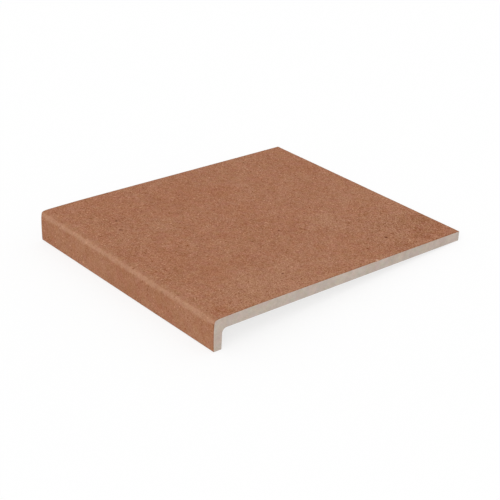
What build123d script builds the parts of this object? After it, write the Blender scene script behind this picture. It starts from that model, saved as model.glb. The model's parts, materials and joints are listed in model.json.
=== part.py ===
"""Stair nosing tile: an L-shaped ceramic tread with a rounded, turned-down nose, fired as one piece.

The tile is modelled as it lies unheld on a level floor. The foot of the nose and the lower back arris
touch the floor, so the tread leans back by a few degrees.
"""

import os
from math import asin, atan2, cos, degrees, radians, sin, sqrt, tan

from build123d import *

# Trade sizes, in mm
tile_width = 294.0
tread_depth = 340.0
nose_height = 35.0
back_thickness = 11.0

# Section of the slab and the lip
root_thickness = 12.7
lip_thickness = 10.6
root_radius = 5.0

# Rounded brow between the tread and the nose face
tread_ease_run = 60.0
tread_ease_drop = 0.75
brow_ease_radius = 40.0
brow_ease_angle = 10.0
brow_radius = 3.2
brow_front_angle = 9.0
face_bow = 1.0

# Eased edges
arris_radius = 0.8
end_arris_radius = 0.5

# Keys pressed into the back, which hold the adhesive
key_size = 30.0
key_rib = 8.0
key_corner_radius = 3.0
key_depth = 0.8
key_border = 12.0

# The tread eases down to the brow, so each arc starts at the slope where the one before it ends
tread_ease_radius = (tread_ease_run**2 + tread_ease_drop**2) / (2 * tread_ease_drop)
tread_ease_angle = degrees(asin(tread_ease_run / tread_ease_radius))
slope_1 = radians(tread_ease_angle)
slope_2 = radians(brow_ease_angle)
slope_3 = radians(90 - brow_front_angle)
brow_run = brow_ease_radius * (sin(slope_2) - sin(slope_1))
brow_run += brow_radius * (sin(slope_3) - sin(slope_2))
brow_run += brow_ease_radius * (1 - sin(slope_3))
brow_drop = brow_ease_radius * (cos(slope_1) - cos(slope_2))
brow_drop += brow_radius * (cos(slope_2) - cos(slope_3))
brow_drop += brow_ease_radius * cos(slope_3)

# The nose face bows back from its foremost line down to the foot
face_height = nose_height - tread_ease_drop - brow_drop
face_radius = (face_height**2 + face_bow**2) / (2 * face_bow)
face_angle = degrees(asin(face_height / face_radius))

# The underside rises from the root to the thinner back edge
bed_run = tread_depth - lip_thickness
bed_rise = root_thickness - back_thickness
bed_slope = atan2(bed_rise, bed_run)
bed_length = sqrt(bed_run**2 + bed_rise**2)

# Lean of the tile when the two lower arrises lie on the floor
back_clearance = nose_height - back_thickness + arris_radius * (1 / cos(bed_slope) - tan(bed_slope) - 1)
lean = atan2(back_clearance, bed_run)

# Section in the tile's own plane: x runs from the nose to the back, y runs up from the foot
with BuildSketch() as section:
    with BuildLine():
        tread = Line((tread_depth, nose_height), (brow_run + tread_ease_run, nose_height))
        tread_ease = JernArc(tread @ 1, tread % 1, tread_ease_radius, tread_ease_angle)
        brow_top = JernArc(tread_ease @ 1, tread_ease % 1, brow_ease_radius, brow_ease_angle - tread_ease_angle)
        brow = JernArc(brow_top @ 1, brow_top % 1, brow_radius, 90 - brow_front_angle - brow_ease_angle)
        brow_front = JernArc(brow @ 1, brow % 1, brow_ease_radius, brow_front_angle)
        nose_face = JernArc(brow_front @ 1, brow_front % 1, face_radius, face_angle)
        foot = Line(nose_face @ 1, (lip_thickness, 0))
        lip_back = Line(foot @ 1, (lip_thickness, nose_height - root_thickness))
        bed = Line(lip_back @ 1, (tread_depth, nose_height - back_thickness))
        Line(bed @ 1, tread @ 0)
    make_face()
    root_corner = section.vertices().sort_by_distance(lip_back @ 1)[0]
    fillet(root_corner, root_radius)
    sharp_points = [foot @ 0, foot @ 1, bed @ 1, tread @ 0]
    sharp_corners = [section.vertices().sort_by_distance(point)[0] for point in sharp_points]
    fillet(sharp_corners, arris_radius)

# The leaning section sits on the floor, with its depth centred on the origin
leaning_box = section.sketch.rotate(Axis.Z, -degrees(lean)).bounding_box()
section_origin = (0, -leaning_box.center().X, -leaning_box.min.Y)
section_plane = Plane(section_origin, x_dir=(0, cos(lean), -sin(lean)), z_dir=(1, 0, 0))

# Plane of the underside, centred between the root fillet and the back edge, facing down
bed_middle = (bed_length + root_radius) / 2
bed_centre_x = lip_thickness + bed_middle * cos(bed_slope)
bed_centre_y = nose_height - root_thickness + bed_middle * sin(bed_slope)
bed_origin = section_plane.from_local_coords((bed_centre_x, bed_centre_y, 0))
bed_tilt = bed_slope - lean
bed_plane = Plane(bed_origin, x_dir=(1, 0, 0), z_dir=(0, sin(bed_tilt), -cos(bed_tilt)))

key_pitch = key_size + key_rib
keys_across = int((tile_width - 2 * key_border + key_rib) // key_pitch)
keys_along = int((bed_length - root_radius - 2 * key_border + key_rib) // key_pitch)

with BuildPart() as tile:
    with BuildSketch(section_plane):
        add(section.sketch)
    extrude(amount=tile_width / 2, both=True)
    end_faces = tile.faces().filter_by(Axis.X)
    fillet(end_faces.edges(), end_arris_radius)
    with BuildSketch(bed_plane):
        with GridLocations(key_pitch, key_pitch, keys_across, keys_along):
            RectangleRounded(key_size, key_size, key_corner_radius)
    extrude(amount=-key_depth, mode=Mode.SUBTRACT)

os.makedirs("parts", exist_ok=True)
tile.part.label = "stair_nosing_tile"
export_step(tile.part, "parts/stair_nosing_tile.step")
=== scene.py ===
# %% [markdown]
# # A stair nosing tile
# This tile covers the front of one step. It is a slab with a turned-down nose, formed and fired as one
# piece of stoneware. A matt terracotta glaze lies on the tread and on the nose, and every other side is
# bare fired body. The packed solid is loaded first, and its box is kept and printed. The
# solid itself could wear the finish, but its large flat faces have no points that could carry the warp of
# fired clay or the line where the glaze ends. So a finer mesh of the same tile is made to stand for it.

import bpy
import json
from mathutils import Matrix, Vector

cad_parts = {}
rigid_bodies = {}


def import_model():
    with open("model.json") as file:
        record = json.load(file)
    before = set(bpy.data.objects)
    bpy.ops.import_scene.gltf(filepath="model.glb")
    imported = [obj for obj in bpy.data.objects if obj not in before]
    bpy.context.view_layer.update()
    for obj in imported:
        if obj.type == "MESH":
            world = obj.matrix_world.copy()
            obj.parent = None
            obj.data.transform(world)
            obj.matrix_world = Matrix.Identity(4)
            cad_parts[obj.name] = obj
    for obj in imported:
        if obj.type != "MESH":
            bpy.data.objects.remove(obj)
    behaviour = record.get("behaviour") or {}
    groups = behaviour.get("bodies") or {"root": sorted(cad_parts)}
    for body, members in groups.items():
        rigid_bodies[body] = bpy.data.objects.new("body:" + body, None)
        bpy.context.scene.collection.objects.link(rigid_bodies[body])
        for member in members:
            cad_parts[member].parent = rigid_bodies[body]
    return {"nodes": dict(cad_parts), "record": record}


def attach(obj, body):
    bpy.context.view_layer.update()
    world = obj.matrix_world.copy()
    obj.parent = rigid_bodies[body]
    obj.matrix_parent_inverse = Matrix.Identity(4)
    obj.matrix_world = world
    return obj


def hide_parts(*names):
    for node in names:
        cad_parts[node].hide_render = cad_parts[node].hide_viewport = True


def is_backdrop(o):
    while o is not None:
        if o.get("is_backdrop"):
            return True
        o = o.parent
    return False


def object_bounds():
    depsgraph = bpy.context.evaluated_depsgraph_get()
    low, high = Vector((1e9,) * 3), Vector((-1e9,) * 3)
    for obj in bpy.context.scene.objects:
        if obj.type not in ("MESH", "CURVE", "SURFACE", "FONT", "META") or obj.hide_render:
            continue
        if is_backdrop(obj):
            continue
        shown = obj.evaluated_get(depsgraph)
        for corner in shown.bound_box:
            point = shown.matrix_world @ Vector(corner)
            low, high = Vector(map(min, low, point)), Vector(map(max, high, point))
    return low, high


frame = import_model()
cad_box = [list(corner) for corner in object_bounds()]

import json
import math

import bpy
import numpy as np
from mathutils import Matrix, Vector
from mathutils.geometry import delaunay_2d_cdt

TILE = "stair_nosing_tile"
mm = 0.001


def in_mm(length, digits=2):
    """A length as a rounded number of millimetres, for printing."""
    return round(float(length / mm), digits)


print("Packed tile, corners in mm:", [[in_mm(side) for side in corner] for corner in cad_box])

# %% [markdown]
# ## Which way the tile leans
# Nobody holds the tile, so it lies on the foot of its nose and on its back edge, and the tread leans by a
# few degrees. Glaze, brow and keys follow the tile and not the floor. The lean could be typed in, but the
# record already names the back of the nose as a joint face with a direction, so it is read from there.
# Three directions then belong to the tile: along the nose, in from the nose, and up out of the tread.

# %% Read the tile's own directions and trade sizes
joint_faces = {mount["name"]: mount for mount in frame["record"]["mounts"]}
along = Vector((1, 0, 0))
inward = Vector(joint_faces["nose_back_face"]["axis"]).normalized()
upward = along.cross(inward)

solid_points = np.array([vertex.co for vertex in frame["nodes"][TILE].data.vertices])
solid_depths = solid_points @ np.array(inward)
solid_heights = solid_points @ np.array(upward)
nose_line = float(solid_depths.min())
foot_line = float(solid_heights.min())
tile_width = float(np.ptp(solid_points[:, 0]))
tread_depth = float(np.ptp(solid_depths))
nose_height = float(np.ptp(solid_heights))
print("Width, depth and nose in mm:", in_mm(tile_width), in_mm(tread_depth), in_mm(nose_height))
print("Lean in degrees:", round(math.degrees(math.atan2(-inward.z, inward.y)), 2))


# %% Read the lip and the underside
def own_place(face_name):
    """Depth from the nose and height from the foot of the middle of a joint face."""
    middle = Vector(joint_faces[face_name]["pos_m"])
    return middle.dot(inward) - nose_line, middle.dot(upward) - foot_line


lip_thickness = own_place("nose_back_face")[0]
bed_out = Vector(joint_faces["bedding_face"]["axis"])
bed_slope = math.atan2(bed_out.dot(inward), -bed_out.dot(upward))
bed_depth, bed_height = own_place("bedding_face")
root_height = bed_height - math.tan(bed_slope) * (bed_depth - lip_thickness)
back_height = bed_height + math.tan(bed_slope) * (tread_depth - bed_depth)
root_thickness = nose_height - root_height
back_thickness = nose_height - back_height
print("Lip in mm:", in_mm(lip_thickness))
print("Slab in mm, from root to back:", in_mm(root_thickness), "to", in_mm(back_thickness))

# %% [markdown]
# ## Walking round the section
# The real tile has one section along its whole length, because it was formed as a straight bar. A curve
# object with a bevel could carry that section, but its points could not be spaced at will. Here a pen walks
# round the outline instead. It goes straight or bends, and at each stop it keeps the point, the direction
# out of the body, the length walked so far, how much glaze lies there from 0 to 1, and the name of the run.

# %% The pen
class SectionPen:
    """Walks round the section anticlockwise, as seen from the right-hand end."""

    def __init__(self, depth, height, heading):
        self.place = np.array([depth, height])
        self.heading = heading
        self.walked = 0.0
        self.points, self.outs, self.lengths, self.glaze, self.runs = [], [], [], [], []

    def keep(self, place, heading, length, glaze, run):
        """Keeps one stop."""
        self.points.append(place)
        self.outs.append((math.sin(heading), -math.cos(heading)))
        self.lengths.append(length)
        self.glaze.append(glaze)
        self.runs.append(run)

    def straight(self, run, length, stops, glaze):
        """Goes straight on, with stops at the given distances."""
        way = np.array([math.cos(self.heading), math.sin(self.heading)])
        for stop in stops:
            self.keep(self.place + stop * way, self.heading, self.walked + stop, glaze, run)
        self.place = self.place + length * way
        self.walked += length

    def bend(self, run, radius, turn, steps, glaze_in, glaze_out):
        """Goes round an arc, to the left if the turn is positive, while the glaze changes evenly."""
        start, heading = self.place, self.heading
        signed = math.copysign(radius, turn)

        def on_arc(angle):
            swing = (math.sin(angle) - math.sin(heading), math.cos(heading) - math.cos(angle))
            return start + signed * np.array(swing)

        for step in range(steps):
            part = step / steps
            angle = heading + turn * part
            glaze = glaze_in + (glaze_out - glaze_in) * part
            self.keep(on_arc(angle), angle, self.walked + radius * abs(turn) * part, glaze, run)
        self.place = on_arc(heading + turn)
        self.heading = heading + turn
        self.walked += radius * abs(turn)


quarter = math.pi / 2
trial_pen = SectionPen(0.0, 0.0, 0.0)
trial_pen.bend("trial", 1.0, quarter, 4, 0.0, 0.0)
print("A quarter bend of radius 1 leads to", trial_pen.place.round(3))

# %% [markdown]
# ## Where the stops go
# On the real tile a flat run and a sharp pressed edge lie side by side. A Subdivision modifier could make
# all of the mesh fine, but a flat run needs few points, small relief needs close ones, and the edge of a
# pressed key needs them closest of all. So one helper takes the places where a line must lie and fills the
# rest with even steps. It also sets a line a hair inside each end of the run, so that smooth shading does
# not bleed round an arris.

# %% Stops along a run
holding_gap = 0.3 * mm
rounding_slack = 1e-6


def spaced_stops(length, gap, lines=()):
    """Distances from the start of a run, with no step wider than the gap; the end itself is left out."""
    anchors = sorted({0.0, holding_gap, length - holding_gap, length, *lines})
    stops = []
    for low, high in zip(anchors, anchors[1:]):
        steps = math.ceil((high - low) / gap - rounding_slack)
        stops += [low + (high - low) * step / steps for step in range(steps)]
    return stops


print("Stops in mm on a run of 10 mm:", [in_mm(stop) for stop in spaced_stops(10 * mm, 3 * mm)])

# %% [markdown]
# ## Keys in the back
# Tile backs carry shallow pressed pockets, the keys, which hold the adhesive. Rows of square pockets with
# round corners lie on the underside, and they stop short of the edges. A modifier could cut them out, but
# a cut leaves long thin faces. Here the sweep's own grid gets lines at each pocket's edge, and the floor of
# the pocket is pushed up into the body later, with walls that slope a little as pressed clay does.

# %% Sizes of the keys and their grid lines
key_size = 30.0 * mm
key_rib = 8.0 * mm
key_corner = 3.0 * mm
key_depth = 0.8 * mm
key_wall = 0.6 * mm
key_border = 12.0 * mm
key_pitch = key_size + key_rib
key_edge_insets = [inset * mm for inset in (0.0, 0.3, 0.6, 1.2, 2.1, 3.2)]


def key_centres(room):
    """Middles of the keys that fit in a room, measured from the middle of it."""
    count = int((room - 2 * key_border + key_rib) // key_pitch)
    return (np.arange(count) - (count - 1) / 2) * key_pitch


def key_lines(centres, middle):
    """Grid lines just inside the edges of each key, for a run whose middle is given."""
    half = key_size / 2
    sides = [side * (half - inset) for inset in key_edge_insets for side in (-1, 1)]
    return [float(middle + centre + side) for centre in centres for side in sides]


keys_along = key_centres(tile_width)
print("Middles in mm of the keys along the nose:", [in_mm(centre) for centre in keys_along])

# %% [markdown]
# ## The section itself
# The tread is flat over most of its depth and eases down towards the nose. The brow is a tight bend with a
# soft lead-in and lead-out, and the nose face bows back a little towards its foot. A bevel on a sharp
# corner could round the brow, but with one radius only. These are arcs with the sizes of the solid, and
# each starts at the slope where the one before it ends, so that no crease catches the light.

# %% Sizes of brow, face and eased edges
tread_ease_run = 60.0 * mm
tread_ease_drop = 0.75 * mm
brow_ease_radius = 40.0 * mm
brow_ease_angle = math.radians(10)
brow_radius = 3.2 * mm
brow_front_angle = math.radians(9)
face_bow = 1.0 * mm
root_radius = 5.0 * mm
arris_radius = 0.8 * mm
end_arris_radius = 0.5 * mm

tread_ease_radius = (tread_ease_run**2 + tread_ease_drop**2) / (2 * tread_ease_drop)
tread_ease_angle = math.asin(tread_ease_run / tread_ease_radius)
brow_end_angle = quarter - brow_front_angle
brow_turns = [
    ("tread_ease", tread_ease_radius, 0.0, tread_ease_angle, 34),
    ("brow_top", brow_ease_radius, tread_ease_angle, brow_ease_angle, 7),
    ("brow", brow_radius, brow_ease_angle, brow_end_angle, 14),
    ("brow_front", brow_ease_radius, brow_end_angle, quarter, 9),
]
brow_run = sum(radius * (math.sin(end) - math.sin(start)) for _, radius, start, end, _ in brow_turns)
brow_drop = sum(radius * (math.cos(start) - math.cos(end)) for _, radius, start, end, _ in brow_turns)
face_height = nose_height - brow_drop
face_radius = (face_height**2 + face_bow**2) / (2 * face_bow)
face_turn = math.asin(face_height / face_radius)
print("Brow with its ease in mm:", in_mm(brow_run), "and face:", in_mm(face_height))

# %% Walk from the back arris over the nose to the foot
tread_gap = 1.8 * mm
arris_steps = 6
face_steps = 13
full_glaze = 1.0
glaze_under_foot = 0.6

section = SectionPen(tread_depth - arris_radius, nose_height, math.pi)
tread_length = tread_depth - arris_radius - brow_run
section.straight("tread", tread_length, spaced_stops(tread_length, tread_gap), full_glaze)
for run, radius, start, end, steps in brow_turns:
    section.bend(run, radius, end - start, steps, full_glaze, full_glaze)

foot_trim = arris_radius * math.tan((quarter - face_turn) / 2)
trimmed_turn = face_turn - foot_trim / face_radius
section.bend("nose_face", face_radius, trimmed_turn, face_steps, full_glaze, full_glaze)
section.bend("foot_arris", arris_radius, quarter - trimmed_turn, arris_steps, full_glaze, glaze_under_foot)
print(len(section.points), "stops on the glazed side")

# %% Walk along the foot and up the back of the lip
lip_gap = 3.6 * mm
root_steps = 8
no_glaze = 0.0

foot_length = lip_thickness - face_bow - foot_trim - arris_radius
section.straight("foot", foot_length, spaced_stops(foot_length, lip_gap), no_glaze)
section.bend("lip_arris", arris_radius, quarter, arris_steps, no_glaze, no_glaze)

root_trim = root_radius * math.tan((quarter - bed_slope) / 2)
lip_length = root_height - arris_radius - root_trim
section.straight("lip_back", lip_length, spaced_stops(lip_length, lip_gap), no_glaze)
section.bend("root", root_radius, bed_slope - quarter, root_steps, no_glaze, no_glaze)
print("Root of the lip reached after", in_mm(section.walked), "mm")

# %% Walk along the underside and up the back edge to the start
bed_gap = 8 * mm
glaze_under_back = 0.25

back_trim = arris_radius * math.tan((quarter - bed_slope) / 2)
bed_whole = math.hypot(tread_depth - lip_thickness, back_height - root_height)
bed_length = bed_whole - root_trim - back_trim
bed_middle = (bed_whole + root_radius) / 2 - root_trim
keys_in = key_centres(bed_whole - root_radius)
bed_stops = spaced_stops(bed_length, bed_gap, key_lines(keys_in, bed_middle))
bed_walked = section.walked
section.straight("bed", bed_length, bed_stops, no_glaze)
section.bend("lower_back_arris", arris_radius, quarter - bed_slope, arris_steps, no_glaze, no_glaze)

edge_length = nose_height - back_height - back_trim - arris_radius
section.straight("back_edge", edge_length, spaced_stops(edge_length, tread_gap), no_glaze)
section.bend("back_arris", arris_radius, quarter, arris_steps, glaze_under_back, full_glaze)
closing_gap = np.linalg.norm(section.place - section.points[0])
print(len(section.points), "stops in all, closing to", in_mm(closing_gap, 4), "mm")

# %% [markdown]
# ## Sweeping the section along the nose
# The real tile is straight along its nose and has eased edges at both ends. An extruded outline with a
# Bevel modifier would look alike, but a bevel gives no hold on where its points lie. Here every stop of the
# outline is repeated at each station along the nose, which gives a grid of points that a few numpy lines
# can place. At both ends the outline shrinks round a small arris, as on the fired edge.

# %% Stations along the nose
station_gap = 2.0 * mm
straight_width = tile_width - 2 * end_arris_radius
inner_stations = spaced_stops(straight_width, station_gap, key_lines(keys_along, straight_width / 2))
inner_stations = np.array(inner_stations + [straight_width]) - straight_width / 2
end_angles = np.linspace(0, quarter, arris_steps + 1)[1:]
end_stations = straight_width / 2 + end_arris_radius * np.sin(end_angles)
end_insets = end_arris_radius * (1 - np.cos(end_angles))

stations = np.concatenate([-end_stations[::-1], inner_stations, end_stations])
insets = np.concatenate([end_insets[::-1], np.zeros(len(inner_stations)), end_insets])
print(len(stations), "stations,", len(keys_along), "by", len(keys_in), "keys")

# %% [markdown]
# ## Relief of the fired surface
# A glazed face is never a perfect plane. It warps by some hundredths of a millimetre over a hand's width,
# and it has an orange-peel ripple a few millimetres long. A Displace modifier could do this from a texture,
# but then the fade towards the arrises would need a vertex group. Sums of waves with seeded directions give
# the same height at every run, and they are worked out on the unrolled face so that they pass over the brow.

# %% Waves of seeded lengths
fired = np.random.default_rng(12)


def fired_waves(across, down, shortest, longest, count):
    """Sum of plane waves of about unit height with seeded lengths, directions and phases."""
    height = np.zeros(np.broadcast_shapes(across.shape, down.shape))
    for _ in range(count):
        length = fired.uniform(shortest, longest)
        turn = fired.uniform(0, 2 * math.pi)
        phase = fired.uniform(0, 2 * math.pi)
        height += np.cos((across * math.cos(turn) + down * math.sin(turn)) * 2 * math.pi / length + phase)
    return height * math.sqrt(2 / count)


outline = np.array(section.points)
outs = np.array(section.outs)
lengths = np.array(section.lengths)[:, None]
glaze_round = np.array(section.glaze)[:, None]
across = stations[None, :]
print("Grid to be shaped:", len(outline), "stops by", len(stations), "stations")

# %% Warp and ripple of the glazed side
warp_height = 0.03 * mm
peel_height = 0.006 * mm
end_fade = 6 * mm

relief = warp_height * fired_waves(across, lengths, shortest=60 * mm, longest=140 * mm, count=14)
relief += peel_height * fired_waves(across, lengths, shortest=6 * mm, longest=11 * mm, count=40)
from_ends = np.clip((tile_width / 2 - np.abs(across)) / end_fade, 0, 1)
relief *= glaze_round * from_ends
print("Relief of the glaze in mm:", in_mm(relief.min(), 3), "to", in_mm(relief.max(), 3))

# %% [markdown]
# ## Pressing the keys
# The die that pressed the back left pockets with flat floors and sloped walls. The points could be picked
# and moved by hand, row by row. Here one sum does it for all of them: it measures how far each point lies
# inside the edge of its nearest key, a square with round corners, and a smooth step over the width of the
# wall turns that into the depth.

# %% Press the keys into the underside
runs = np.array(section.runs)
on_bed = (runs == "bed")[:, None]


def from_nearest(values, centres):
    """Distance of each value from the nearest of the key middles."""
    return np.abs(values[..., None] - centres).min(axis=-1)


bed_offsets = lengths - bed_walked - bed_middle
side_x = from_nearest(across, keys_along) - (key_size / 2 - key_corner)
side_y = from_nearest(bed_offsets, keys_in) - (key_size / 2 - key_corner)
round_corner = np.hypot(np.maximum(side_x, 0), np.maximum(side_y, 0)) - key_corner
inside_key = round_corner + np.minimum(np.maximum(side_x, side_y), 0)
key_share = np.clip(-inside_key / key_wall, 0, 1)
key_push = key_depth * key_share**2 * (3 - 2 * key_share) * on_bed
relief = relief - key_push
print("Deepest key in mm:", in_mm(key_push.max()))

# %% [markdown]
# ## One small flake
# On the right-hand end the tile has lost one flake, not far from the middle of the tread. It is a shallow
# bite out of the arris, a few millimetres long. A dark spot in the colour could stand for it, but it would
# not break the line of the edge. The grid is fine enough at the arris to carry it as real shape, and the
# shader paints it paler later, because the body shows there.

# %% Bite out the flake
flake_depth_in = 215.0 * mm
flake_length = 2.4 * mm
flake_width = 1.3 * mm
flake_bite = 0.35 * mm
depths = outline[:, 0][:, None]
on_top = np.isin(runs, ("tread", "tread_ease"))[:, None]
flake_reach = np.hypot((depths - flake_depth_in) / flake_length, (tile_width / 2 - across) / flake_width)
flake_share = np.exp(-(flake_reach**2)) * on_top
relief = relief - flake_bite * flake_share
print("Deepest bite in mm:", in_mm(flake_bite * flake_share.max()))

# %% [markdown]
# ## From the grid to the tile
# So far the tile is a table of heights over its unrolled skin. Shape keys or a Displace modifier could
# apply them, but the direction out of the body is already known at each stop, so each point moves straight
# along it. Measured in the tile's own directions, the points then come to lie where the solid lies. Four
# neighbours make a face, and the last stop is joined to the first.

# %% Place the points and join them
lift = relief - insets[None, :]
own_depth = depths + outs[:, 0][:, None] * lift
own_height = outline[:, 1][:, None] + outs[:, 1][:, None] * lift
grid = (
    across[..., None] * np.array(along)
    + (own_depth + nose_line)[..., None] * np.array(inward)
    + (own_height + foot_line)[..., None] * np.array(upward)
)
stop_count, station_count = grid.shape[:2]
number = np.arange(stop_count * station_count).reshape(stop_count, station_count)
following = np.roll(number, -1, axis=0)
quads = np.stack([number[:, :-1], following[:, :-1], following[:, 1:], number[:, 1:]], axis=-1)
swept_count = quads.size // 4
print("Swept faces:", swept_count)

# %% [markdown]
# ## Closing the ends
# The sweep is still an open tube, and the real ends are flat. Each could be one face with hundreds of
# corners, many of them in a straight row, but an export may cut such a face into slivers. Blender's own
# triangulation joins the corners of an outline into triangles that are as full as they can be. The
# left-hand end is turned to face out.

# %% Fill both ends
rim_edges = [(stop, (stop + 1) % stop_count) for stop in range(stop_count)]
inside_only = 1
merge_below = 1e-5


def end_triangles(station):
    """Triangles that fill the outline at a station, as numbers of points, seen from the right-hand end."""
    corners = [Vector(corner) for corner in zip(own_depth[:, station] / mm, own_height[:, station] / mm)]
    filled = delaunay_2d_cdt(corners, rim_edges, [], inside_only, merge_below)
    return number[np.array(filled[2]), station]


right_end = end_triangles(-1)
left_end = end_triangles(0)[:, ::-1]
faces = quads.reshape(-1, 4).tolist() + right_end.tolist() + left_end.tolist()
print("Triangles on the ends:", len(right_end), "and", len(left_end))

# %% [markdown]
# ## One mesh that knows its glaze
# Body and glaze are one fired piece, so they are one mesh. Two materials on two sets of faces could show
# them, but then the glaze would end in steps along the edges of faces. Instead each point keeps a number,
# its share of glaze, which fades out round the arrises, and the shader finds the line in between. The swept
# faces are shaded smooth and the flat ends are not.

# %% Make the mesh and mark its glaze
tile_mesh = bpy.data.meshes.new("fired_tile")
tile_mesh.from_pydata(grid.reshape(-1, 3).tolist(), [], faces)
swept = np.arange(len(faces)) < swept_count
tile_mesh.polygons.foreach_set("use_smooth", swept)

end_share = insets / end_arris_radius
glaze_here = glaze_round * (1 - end_share)[None, :]
glaze_marks = tile_mesh.attributes.new("glaze", "FLOAT", "POINT")
glaze_marks.data.foreach_set("value", glaze_here.astype(np.float32).ravel())
print("Mesh mended:", tile_mesh.validate())

# %% [markdown]
# ## Laying the sides out flat
# Other programs show a finish as a square picture, and a UV map says which part of it belongs to which face.
# Blender's Smart UV Project could lay out any mesh, but here it would leave half of the square empty and cut
# the glaze along the brow. The sweep is a grid already, so it is simply unrolled: the glazed sheet takes two
# thirds of the square, the bare sides lie beside it, and the two ends lie in rows below. The back arris is
# walked last but belongs to the glazed sheet, so it is laid before the tread. The export keeps this map
# because of its name.

# %% Unroll the swept sides
square_gap = 0.006
ends_share = 0.15
glaze_share = 0.665
bare_runs = ("foot", "lip_arris", "lip_back", "root", "bed", "lower_back_arris", "back_edge")


def fill_span(values, low, high):
    """Moves and stretches values until they fill the span from low to high."""
    return low + (high - low) * (values - values.min()) / np.ptp(values)


end_arcs = straight_width / 2 + end_arris_radius * end_angles
widths = np.concatenate([-end_arcs[::-1], inner_stations, end_arcs])
walked = np.append(lengths[:, 0], section.walked)
before_tread = np.where(runs == "back_arris", section.walked, 0.0)
near = walked[:-1] - before_tread
far = walked[1:] - before_tread
corner_widths = np.stack([widths[:-1], widths[:-1], widths[1:], widths[1:]], axis=-1)
corner_lengths = np.stack([near, far, far, near], axis=-1)
glazed_side = ~np.isin(runs, bare_runs)
print("Unrolled glaze in mm:", in_mm(np.ptp(corner_lengths[glazed_side])), "by", in_mm(np.ptp(widths)))

# %% Share out the square
flat_sweep = np.zeros(quads.shape + (2,))
side_spans = [
    (glazed_side, square_gap, glaze_share),
    (~glazed_side, glaze_share + square_gap, 1 - square_gap),
]
for side, left, right in side_spans:
    flat_lengths = fill_span(-corner_lengths[side], ends_share + square_gap, 1 - square_gap)
    flat_sweep[side, ..., 0] = fill_span(corner_widths, left, right)
    flat_sweep[side, ..., 1] = flat_lengths[:, None]

end_row = ends_share / 2
flat_ends = []
for triangles, station, facing, low in ((right_end, -1, 1, 0.0), (left_end, 0, -1, end_row)):
    flat_depths = fill_span(facing * own_depth[:, station], square_gap, 1 - square_gap)
    flat_heights = fill_span(own_height[:, station], low + square_gap, low + end_row)
    end_stops = triangles.ravel() // station_count
    flat_ends.append(np.stack([flat_depths[end_stops], flat_heights[end_stops]], axis=-1))

flat_places = np.concatenate([flat_sweep.reshape(-1, 2), *flat_ends])
flat_map = tile_mesh.uv_layers.new(name="OFBake")
flat_map.uv.foreach_set("vector", flat_places.astype(np.float32).ravel())
print(len(flat_places), "corners laid out, of", len(tile_mesh.loops))

# %% [markdown]
# ## Standing in for the solid
# The real tile has no loose or moving part, so the scene gets one object for it. It could lie over the packed
# solid, but two skins in the same place flicker. So the mesh rides on the one body and hides the solid.

# %% Put the tile in the scene
tile = bpy.data.objects.new("fired_tile", tile_mesh)
bpy.context.scene.collection.objects.link(tile)
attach(tile, "root")
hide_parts(TILE)
print(len(tile_mesh.vertices), "points,", len(tile_mesh.polygons), "faces")

# %% [markdown]
# ## Shader sums in plain Python
# A glaze is many faint layers, and wiring them by hand takes a node for every sum. This small class wraps
# one output of a node. Plus, minus and times on it add Math nodes, and every other node comes from one
# method. It finds sockets by their identifiers, because several sockets of a Mix node share a name.

# %% One wire of the glaze
class Wire:
    """One output in a node tree, on which Python's operators add Math nodes."""

    def __init__(self, tree, socket=None):
        self.tree = tree
        self.socket = socket

    def make(self, kind, settings, sockets, output=None):
        """Adds a node: first its settings, then the values or links of its sockets."""
        node = self.tree.nodes.new(kind)
        for name, value in settings.items():
            setattr(node, name, value)
        inputs = {socket.identifier: socket for socket in node.inputs}
        for name, value in sockets.items():
            if isinstance(value, Wire):
                self.tree.links.new(value.socket, inputs[name])
            else:
                inputs[name].default_value = value
        outputs = {socket.identifier: socket for socket in node.outputs}
        return Wire(self.tree, outputs.get(output))

    def maths(self, operation, first, second):
        """Adds a Math node for two values."""
        sockets = {"Value": first, "Value_001": second}
        return self.make("ShaderNodeMath", {"operation": operation}, sockets, "Value")

    def __add__(self, other):
        return self.maths("ADD", self, other)

    def __radd__(self, other):
        return self.maths("ADD", other, self)

    def __sub__(self, other):
        return self.maths("SUBTRACT", self, other)

    def __rsub__(self, other):
        return self.maths("SUBTRACT", other, self)

    def __mul__(self, other):
        return self.maths("MULTIPLY", self, other)

    def __rmul__(self, other):
        return self.maths("MULTIPLY", other, self)

    def rise(self, low, high):
        """0 below the low value, 1 above the high one, and a smooth step between."""
        sockets = {"Value": self, "From Min": low, "From Max": high}
        return self.make("ShaderNodeMapRange", {"interpolation_type": "SMOOTHSTEP"}, sockets, "Result")

    def paint(self, below, above):
        """The colour below where this is 0, the colour above where it is 1."""
        settings = {"data_type": "RGBA", "clamp_factor": True}
        sockets = {"Factor_Float": self, "A_Color": below, "B_Color": above}
        return self.make("ShaderNodeMix", settings, sockets, "Result_Color")

    def vector(self, operation, sockets, output="Vector"):
        """Adds a Vector Math node for this vector and the given ones."""
        sockets = {"Vector": self, **sockets}
        return self.make("ShaderNodeVectorMath", {"operation": operation}, sockets, output)

    def mottle(self, size, seed, detail=2.0):
        """Noise about 0 whose lumps are about that size."""
        sockets = {"Vector": self, "W": seed, "Scale": 1 / size, "Detail": detail}
        return self.make("ShaderNodeTexNoise", {"noise_dimensions": "4D"}, sockets, "Fac") - 0.5


print("Beside sums, a wire can:", [name for name in vars(Wire) if not name.startswith("_")])

# %% [markdown]
# ## Where on the tile a point lies
# The finish changes from tread to brow to face, so the shader needs to know where it is. The flat map could
# tell, but it stops at its seams and has no millimetres. Object coordinates are metres in the packed frame.
# Measured along the tile's own directions, they give the depth in from the nose and the height over the
# foot. Depth plus height unrolls tread and face into one flat sheet.

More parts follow.
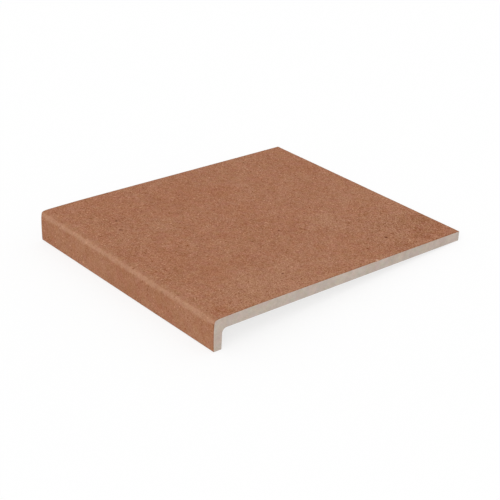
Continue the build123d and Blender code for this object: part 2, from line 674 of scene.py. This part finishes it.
# %% Measure the place
finish = bpy.data.materials.new("terracotta_glaze_on_bare_body")
finish.use_nodes = True
finish_nodes = finish.node_tree.nodes
finish_nodes.clear()
finish_wires = Wire(finish.node_tree)

place = finish_wires.make("ShaderNodeTexCoord", {}, {}, "Object")
sideways = place.vector("DOT_PRODUCT", {"Vector_001": along}, "Value")
depth_in = place.vector("DOT_PRODUCT", {"Vector_001": inward}, "Value") - nose_line
height_up = place.vector("DOT_PRODUCT", {"Vector_001": upward}, "Value") - foot_line
sheet_sockets = {"X": sideways, "Y": depth_in + height_up, "Z": 0.0}
unrolled = finish_wires.make("ShaderNodeCombineXYZ", {}, sheet_sockets, "Vector")
print("Place measured with", len(finish_nodes), "nodes")


# %% Colours as they look on a screen
def fired_colour(red, green, blue):
    """A colour as seen on a screen, 0 to 255, as the linear colour that a shader takes, by the sRGB curve."""
    shares = [level / 255 for level in (red, green, blue)]
    return tuple(s / 12.92 if s <= 0.04045 else ((s + 0.055) / 1.055) ** 2.4 for s in shares) + (1.0,)


dark_brick = fired_colour(126, 66, 28)
dark_sand = fired_colour(128, 75, 41)
light_brick = fired_colour(191, 135, 104)
light_sand = fired_colour(191, 142, 112)
print("Darkest and lightest brick, red share:", round(dark_brick[0], 3), "and", round(light_brick[0], 3))

# %% [markdown]
# ## The terracotta glaze
# The glaze is matt and sandy. Seen close it is a fine grain of lighter and darker specks about a millimetre
# wide, over soft blotches and broad clouds that drift between brick and sand. A painted picture could show
# it, but noise has no seams and no limit of sharpness. The specks differ in lightness much more than in
# hue, so one tone from 0 to 1 runs from a dark brown to a light tan, and the clouds shift its hue. The nose
# face is smoother than the tread, so its grain is weaker.

# %% Grain and specks
on_tread = depth_in.rise(4 * mm, 9 * mm)
grain_strength = 0.57 + 0.43 * on_tread
fine_grain = place.mottle(0.7 * mm, seed=1, detail=1)
coarse_grain = place.mottle(2.0 * mm, seed=2, detail=1)
grain = 2.4 * fine_grain + 0.8 * coarse_grain

speck_noise = place.mottle(2.4 * mm, seed=11, detail=0)
pale_specks = speck_noise.rise(0.24, 0.33)
dark_specks = (0 - speck_noise).rise(0.24, 0.33)
specks = 1.1 * pale_specks - 2.0 * dark_specks
print("With grain and specks:", len(finish_nodes), "nodes")

# %% Blotches and clouds
blotches = 0.35 * place.mottle(6 * mm, seed=3) + 0.23 * place.mottle(17 * mm, seed=4)
clouds = place.mottle(60 * mm, seed=5) + 0.5 * place.mottle(22 * mm, seed=6)
print("With blotches and clouds:", len(finish_nodes), "nodes")

# %% [markdown]
# ## Kiln marks
# The fire does not reach every place alike. This tile is paler towards the right-hand end of the nose, more
# brick-red towards the left-hand one and a little dimmer in the middle. It has a dark patch and a coarser
# grain in the right-hand back corner, iron specks along the right-hand end, a few calmer places, and some
# small rusty spots, one of them by the right-hand end of the nose. More noise could give marks of this kind,
# but not at their places. So each is a soft round spot at a given place, in millimetres along the
# nose from the middle and in from the nose. A wobble of the sheet first makes the spots ragged.

# %% Wobble the sheet
wobble_size = 14 * mm
wobble_reach = 13 * mm
wobble_sockets = {"Vector": unrolled, "Scale": 1 / wobble_size}
wobble = finish_wires.make("ShaderNodeTexNoise", {}, wobble_sockets, "Color")
full_swing = (2 * wobble_reach, 2 * wobble_reach, 0)
half_swing = (wobble_reach, wobble_reach, 0)
ragged = wobble.vector("MULTIPLY_ADD", {"Vector_001": full_swing, "Vector_002": unrolled})
ragged = ragged.vector("SUBTRACT", {"Vector_001": half_swing})
print("The sheet wobbles by up to", in_mm(wobble_reach), "mm")


# %% Spots on a sheet
def spots(sheet, *marks, core=0.0):
    """Sum of round spots, each given by its place along and in from the nose and its radius in mm.

    The core is the share of the radius that is full, before the spot fades out.
    """
    shares = []
    for beside, inside, radius in marks:
        middle = (beside * mm, inside * mm + nose_height, 0)
        away = sheet.vector("DISTANCE", {"Vector_001": middle}, "Value")
        shares.append(1 - away.rise(core * radius * mm, radius * mm))
    return sum(shares[1:], shares[0])


pale_drift = spots(ragged, (128, 82, 76), (52, 238, 32), (-50, 85, 30))
brick_left = (-125, 60, 75), (-83, 200, 30), (-95, 145, 46)
brick_right = (75, 62, 18), (20, 45, 26)
brick_drift = spots(ragged, *brick_left, *brick_right)
grey_drift = spots(ragged, (92, 285, 55))
rusty_spots = spots(ragged, (12, 122, 12), (90, 185, 10), (-83, 190, 14), (135, 17, 12))
dim_drift = spots(ragged, (38, 166, 62), (-104, 115, 28), (-122, 295, 46))
dark_patch = spots(ragged, (102, 326, 36), (132, 300, 16), (136, 262, 16), (135, 16, 11))
print("With the drifts:", len(finish_nodes), "nodes")

# %% Iron specks, coarse corner and calm places
speckled_end = spots(ragged, (132, 250, 55), (122, 305, 50), core=0.2)
iron_noise = place.mottle(2.6 * mm, seed=22, detail=0)
iron_specks = (0 - iron_noise).rise(0.20, 0.25) * speckled_end
coarse_corner = spots(ragged, (95, 305, 90))
calm_places = spots(ragged, (72, 55, 55), (100, 158, 48), (-80, 115, 38))
grain_strength = grain_strength + 0.45 * coarse_corner - 0.22 * calm_places
print("With iron specks and calm places:", len(finish_nodes), "nodes")

# %% Hue from brick to sand
hue = 0.5 + 1.0 * clouds + 1.2 * place.mottle(3.5 * mm, seed=13) + 1.3 * place.mottle(8 * mm, seed=18)
hue = hue + 0.42 * pale_drift + 0.5 * grey_drift - 0.3 * brick_drift - 0.6 * rusty_spots
hue = (hue + 0.22 * (1 - on_tread)).rise(0.0, 1.0)
dark_tone = hue.paint(dark_brick, dark_sand)
light_tone = hue.paint(light_brick, light_sand)
print("With the hue:", len(finish_nodes), "nodes")

# %% [markdown]
# ## Tone of the glaze
# All that makes the glaze lighter or darker is added up to one tone. The nose face gets painted shade near
# its top and painted light towards its foot, which even out the lamp's stronger light under the brow and the
# floor's shadow at the foot. Where the glaze stops at an end or at the back it is a little thicker and
# darker, in a rim about a millimetre wide. Painting these rims by hand would be slow, and the distance from
# the edge is known, so a smooth step over that distance draws them.

# %% Add up the tone
tone = 0.47 + (grain + specks) * grain_strength + blotches + 0.15 * clouds
tone = tone + 0.06 * pale_drift - 0.02 * brick_drift - 0.045 * dim_drift
tone = tone - 0.15 * dark_patch - 0.8 * iron_specks
print("With grain, drifts and specks in the tone:", len(finish_nodes), "nodes")

# %% Painted shade and light on the nose face, and darker rims
lower_face_painted_light = 1 - height_up.rise(10 * mm, 26 * mm)
foot_painted_light = 1 - height_up.rise(1 * mm, 6 * mm)
# Painted shade on the top of the nose face and painted light lower down and above the foot, against the lamp
# and the floor's shadow
tone = tone - 0.04 * (1 - on_tread) + 0.04 * lower_face_painted_light
tone = tone + 0.035 * foot_painted_light

rim_from = 1.4 * mm
rim_to = 0.3 * mm
half_width = tile_width / 2
end_rim = (sideways * sideways).rise((half_width - rim_from) ** 2, (half_width - rim_to) ** 2)
back_rim = depth_in.rise(tread_depth - rim_from, tread_depth - rim_to)
tone = tone - 0.25 * end_rim - 0.25 * back_rim
glaze_colour = tone.paint(dark_tone, light_tone)
print("Rims", in_mm(rim_from - rim_to), "mm wide")

# %% [markdown]
# ## Tints, and the thin glaze with a painted highlight on the brow
# Over the lightness lies a faint change of tint, to olive here and to rose there. On the brow the glaze
# drew thin in the fire, so the paler body shines through in an uneven band, and a painted highlight along
# the rounded brow lies in the same band. A stripe of even width would look printed, so noise shifts the
# height of the band and breaks its strength.

# %% Olive, rose and the pale band
olive = fired_colour(160, 120, 70)
rose = fired_colour(171, 108, 101)
# Pale colour of thin glaze, which also stands in for the painted highlight on the brow
thin_glaze_and_highlight = fired_colour(207, 168, 140)

tint = place.mottle(7 * mm, seed=17)
glaze_colour = (0.7 * tint).paint(glaze_colour, olive)
glaze_colour = (0 - 0.7 * tint).paint(glaze_colour, rose)

# The pale band is partly thin glaze and partly a painted highlight along the rounded brow
brow_height = height_up + 3 * mm * place.mottle(5 * mm, seed=15)
above_face = brow_height.rise(26.2 * mm, 30.6 * mm)
below_tread = 1 - brow_height.rise(32.2 * mm, 34.3 * mm)
brow_band_and_highlight = above_face * below_tread * (0.25 + 0.35 * place.mottle(4 * mm, seed=16))
glaze_colour = brow_band_and_highlight.paint(glaze_colour, thin_glaze_and_highlight)
print("With tints and the pale band:", len(finish_nodes), "nodes")

# %% [markdown]
# ## Pits
# Gas that left the body in the kiln has opened some pin holes in the glaze. They are dark and hardly a
# millimetre wide. Holes could be cut into the mesh, but they are finer than its grid. A flat cell pattern
# on the unrolled sheet scatters points instead, a random number for each cell picks the few that are pits,
# and the distance to the point draws them. The five that stand out in the picture are given one by one, and
# two of those are long, so they are two spots each. The flake gets its paler colour here as well.

# %% Scattered pin holes
pit_cell = 8 * mm
pit_sockets = {"Vector": unrolled, "Scale": 1 / pit_cell, "Randomness": 1.0}
pit_settings = {"voronoi_dimensions": "2D", "feature": "F1"}
pit_distance = finish_wires.make("ShaderNodeTexVoronoi", pit_settings, pit_sockets, "Distance")
pit_colour = finish_wires.make("ShaderNodeTexVoronoi", pit_settings, pit_sockets, "Color")
pit_number = finish_wires.make("ShaderNodeSeparateColor", {}, {"Color": pit_colour}, "Red")
pit_hole = 1 - pit_distance.rise(0.05, 0.11)
pit_chosen = pit_number.rise(0.93, 0.94)
pits = 0.7 * pit_hole * pit_chosen * on_tread
print("With scattered pits:", len(finish_nodes), "nodes")

# %% The pits that stand out, and the flake
pit_brown = fired_colour(92, 36, 8)
flaked_body = fired_colour(206, 168, 144)
round_pits = (113, 262, 2.0), (-59.8, 41.3, 1.6), (-80, 51, 1.6), (35, 179, 1.5), (113, 115, 1.5)
pit_tails = (111.2, 261.4, 1.4), (-58.3, 43, 1.3)
flake_mark = (145.6, flake_depth_in / mm, 2.4)

pits = pits + spots(unrolled, *round_pits, core=0.5)
pits = pits + spots(unrolled, *pit_tails, core=0.5)
glaze_colour = (0.9 * pits).paint(glaze_colour, pit_brown)
flake = spots(unrolled, flake_mark, core=0.4)
glaze_colour = (0.8 * flake).paint(glaze_colour, flaked_body)
print(len(round_pits), "pits set by hand,", len(pit_tails), "of them long")

# %% [markdown]
# ## The bare body
# Ends, back edge, foot and underside show the fired body itself, a grey-beige with no gloss at all. It has
# a very fine grit, soft drifts from cool to warm and from yellow to violet, and broad changes of lightness,
# and near the nose the slab is a shade paler. One flat colour would look like plastic, so the same noise as
# in the glaze is used, only fainter.

# %% Grit, drifts and body colour
cool_dark = fired_colour(168, 159, 146)
cool_light = fired_colour(198, 189, 176)
warm_dark = fired_colour(176, 155, 145)
warm_light = fired_colour(207, 186, 176)
body_yellow = fired_colour(184, 172, 145)
body_violet = fired_colour(184, 168, 172)

warm_drift = 0.4 * place.mottle(30 * mm, seed=7) + 1.8 * place.mottle(6 * mm, seed=14)
yellow_drift = 1.4 * place.mottle(5 * mm, seed=19)
grit = place.mottle(0.8 * mm, seed=8, detail=1)
in_slab = height_up.rise(12 * mm, 24 * mm)
near_nose = 1 - depth_in.rise(90 * mm, 130 * mm)
body_tone = 0.51 + 1.2 * grit + 1.0 * place.mottle(5 * mm, seed=9) + 0.9 * place.mottle(28 * mm, seed=24)
body_tone = body_tone + 0.07 * in_slab * near_nose

body_cool = body_tone.paint(cool_dark, cool_light)
body_warm = body_tone.paint(warm_dark, warm_light)
body_colour = (0.45 + warm_drift).paint(body_cool, body_warm)
body_colour = yellow_drift.paint(body_colour, body_yellow)
body_colour = (0 - yellow_drift).paint(body_colour, body_violet)
print("With the bare body:", len(finish_nodes), "nodes")

# %% [markdown]
# ## Glaze edge and surface
# The mesh says how much glaze lies at each point. The glaze reaches about two thirds of the way round the
# arrises at the ends and the back, and nearly all the way round the foot, and a little noise keeps its line
# from being ruled. Two shaders could be mixed along that line, but one shader that takes the colour and the
# roughness of whichever finish is there is simpler. The grain also feeds a Bump node, since it is far finer
# than the mesh.

# %% Join the two finishes
glaze_mark = finish_wires.make("ShaderNodeAttribute", {"attribute_name": "glaze"}, {}, "Fac")
glazed = (glaze_mark + 0.5 * place.mottle(2 * mm, seed=10)).rise(0.42, 0.58)
colour = glazed.paint(body_colour, glaze_colour)
roughness = 0.9 - glazed * (0.18 + 0.15 * grain) + 0.1 * pits
surface_height = glazed * (grain * grain_strength - 1.0 * pits) + (1 - glazed) * 0.8 * grit
bump_sockets = {"Height": surface_height, "Distance": 0.12 * mm, "Strength": 0.5}
normal = finish_wires.make("ShaderNodeBump", {}, bump_sockets, "Normal")
shader_sockets = {"Base Color": colour, "Roughness": roughness, "Specular IOR Level": 0.15, "Normal": normal}
shader = finish_wires.make("ShaderNodeBsdfPrincipled", {}, shader_sockets, "BSDF")
finish_wires.make("ShaderNodeOutputMaterial", {"is_active_output": True}, {"Surface": shader})
tile_mesh.materials.append(finish)
print("The finish has", len(finish_nodes), "nodes")

# %% [markdown]
# ## Floor and sky
# A product picture wants a white ground, and more light would bleach the tile. So the floor is a plain white
# board that, to the camera and to reflections, is part board and part white glow. That lifts it to white
# and still keeps a soft shadow under the tile. To the light that bounces about it is only the board. The sky
# is an even pale dome.

# %% Lay the floor
floor_half = 6.0
floor_corners = [(-1, -1, 0), (1, -1, 0), (1, 1, 0), (-1, 1, 0)]
floor_points = [(x * floor_half, y * floor_half, z) for x, y, z in floor_corners]
floor_mesh = bpy.data.meshes.new("pale_floor")
floor_mesh.from_pydata(floor_points, [], [(0, 1, 2, 3)])
floor = bpy.data.objects.new("pale_floor", floor_mesh)
bpy.context.scene.collection.objects.link(floor)
floor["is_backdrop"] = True
print("Floor", 2 * floor_half, "m wide")

# %% Finish the floor as a white board
shown_rays = ("Is Camera Ray", "Is Glossy Ray", "Is Transmission Ray")
white = (1, 1, 1, 1)
board_white = (0.98, 0.98, 0.98, 1)
glow_share = 0.75


def seen_directly(wires):
    """1 for the rays that show a thing to the camera, straight or in a reflection, and 0 for the rest."""
    straight, mirrored, through = (wires.make("ShaderNodeLightPath", {}, {}, ray) for ray in shown_rays)
    return (straight + mirrored + through).rise(0.0, 1.0)


board = bpy.data.materials.new("white_board")
board.use_nodes = True
board.node_tree.nodes.clear()
board_wires = Wire(board.node_tree)
matt = board_wires.make("ShaderNodeBsdfDiffuse", {}, {"Color": board_white}, "BSDF")
glow = board_wires.make("ShaderNodeEmission", {}, {"Color": white, "Strength": 1.0}, "Emission")
lit_sockets = {"Fac": seen_directly(board_wires) * glow_share, "Shader": matt, "Shader_001": glow}
lit = board_wires.make("ShaderNodeMixShader", {}, lit_sockets, "Shader")
board_wires.make("ShaderNodeOutputMaterial", {}, {"Surface": lit})
floor_mesh.materials.append(board)
print("The board has", len(board.node_tree.nodes), "nodes")

# %% Set the sky
sky_level = 0.82
sky = bpy.data.worlds.new("pale_sky")
sky.use_nodes = True
sky.node_tree.nodes.clear()
sky_wires = Wire(sky.node_tree)
strength = sky_level + (1 - sky_level) * seen_directly(sky_wires)
dome = sky_wires.make("ShaderNodeBackground", {}, {"Color": white, "Strength": strength}, "Background")
sky_wires.make("ShaderNodeOutputWorld", {}, {"Surface": dome})
bpy.context.scene.world = sky
print("The sky lights the tile at", sky_level)

# %% [markdown]
# ## One soft lamp
# The tread and the nose face are about equally bright in the picture, and the brow between them a little
# brighter. A broad lamp in front of the nose and above it does part of that, and the painted highlight in the
# brow's pale band does the rest. A sun lamp has the same strength all over the tile, which an area lamp close
# by would not have, and a wide angle makes its shadow soft.

# %% Hang the lamp
lamp_pull = Vector((0.08, -0.15, 0.19))
lamp_data = bpy.data.lights.new("soft_lamp", "SUN")
lamp_data.energy = math.pi * lamp_pull.length
lamp_data.angle = math.radians(50)
lamp = bpy.data.objects.new("soft_lamp", lamp_data)
lamp.rotation_euler = lamp_pull.to_track_quat("Z", "Y").to_euler()
bpy.context.scene.collection.objects.link(lamp)
print("Lamp strength", round(lamp_data.energy, 2))

# %% [markdown]
# ## The camera
# The picture was taken from the right-hand side of the nose and from above. The view could be turned by hand
# until it looks right, but an edge that is off by one pixel shows. So heading, tilt and distance were found
# by laying the edges of the tile over the edges in the picture, and the lens by how fast they converge.

# %% Aim the camera
picture_side = 500
focal_in_pixels = 1311.8
camera_place = Vector((951.73, -808.82, 670.12)) * mm
camera_heading = math.radians(49.658)
camera_tilt = math.radians(28.646)
camera_roll = math.radians(-0.217)

camera_data = bpy.data.cameras.new("picture_camera")
camera_data.sensor_width = 36.0
camera_data.lens = focal_in_pixels * camera_data.sensor_width / picture_side
camera_data.clip_end = 50.0
camera = bpy.data.objects.new("picture_camera", camera_data)
camera_turn = Matrix.Rotation(camera_heading, 4, "Z") @ Matrix.Rotation(quarter - camera_tilt, 4, "X")
camera.matrix_world = Matrix.Translation(camera_place) @ camera_turn @ Matrix.Rotation(camera_roll, 4, "Z")
bpy.context.scene.collection.objects.link(camera)
bpy.context.scene.camera = camera
bpy.context.scene.view_settings.view_transform = "Standard"
print("Lens", round(camera_data.lens, 2), "mm")

# %% [markdown]
# ## The box of the dressed tile
# The dressed tile has to stay as large as the solid. Its box is measured and printed here.

# %% Measure the dressed tile's box
visual_box = [list(corner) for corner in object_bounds()]
print("Dressed tile, corners in mm:", [[in_mm(side) for side in corner] for corner in visual_box])
